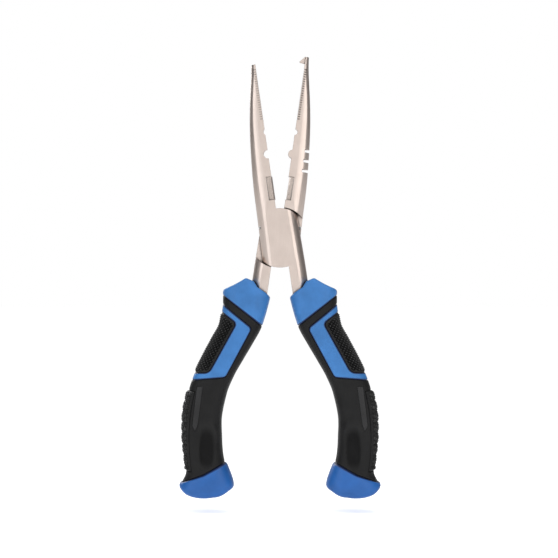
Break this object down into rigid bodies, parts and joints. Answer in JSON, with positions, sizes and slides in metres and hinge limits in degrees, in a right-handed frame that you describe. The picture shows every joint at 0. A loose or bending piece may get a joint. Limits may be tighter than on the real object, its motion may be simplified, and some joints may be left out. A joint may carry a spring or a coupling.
{
  "type": "fishing pliers",
  "caption": "Long-nose fishing pliers with split-ring tip, crimping notch, side cutters and cranked two-colour moulded grips, sprung open on a hidden pivot.",
  "frame": {"origin": "on the pivot axis, at the flat back face of the joint", "axes": "+Z towards the jaw tips, +X to the right seen from the front, -Y out of the smooth front plate; the levers stand open by the same angle each side of the X = 0 plane"},
  "size_m": [0.0892, 0.0164, 0.199],
  "materials": {
    "satin_steel": "satin nickel plate over forged steel",
    "cutter_steel": "ground and hardened",
    "pin_steel": "turned",
    "spring_steel": "drawn spring wire",
    "blue_plastic": "moulded, fine texture",
    "black_rubber": "moulded soft-touch rubber",
    "dark_strip": "smooth moulded strip"
  },
  "bodies": {
    "front_lever": {"front_lever": "satin_steel", "front_cutter": "cutter_steel", "pivot_pin": "pin_steel", "pivot_washer": "pin_steel", "return_spring": "spring_steel", "right_collar": "blue_plastic", "right_grip_core": "blue_plastic", "right_sleeve": "black_rubber", "right_palm_pad": "black_rubber", "right_heel_pad": "black_rubber", "right_accent_strip": "dark_strip", "right_butt_cap": "blue_plastic"},
    "rear_lever": {"rear_lever": "satin_steel", "rear_cutter": "cutter_steel", "left_collar": "blue_plastic", "left_grip_core": "blue_plastic", "left_sleeve": "black_rubber", "left_palm_pad": "black_rubber", "left_heel_pad": "black_rubber", "left_accent_strip": "dark_strip", "left_butt_cap": "blue_plastic"}
  },
  "joints": [
    {"name": "pivot", "type": "hinge", "parent": "front_lever", "child": "rear_lever", "pos_m": [0, 0, 0], "axis": [0, -1, 0], "range_deg": [-6, 16.3], "stiffness_Nm_per_rad": 0.35, "deforming": ["return_spring"]}
  ]
}
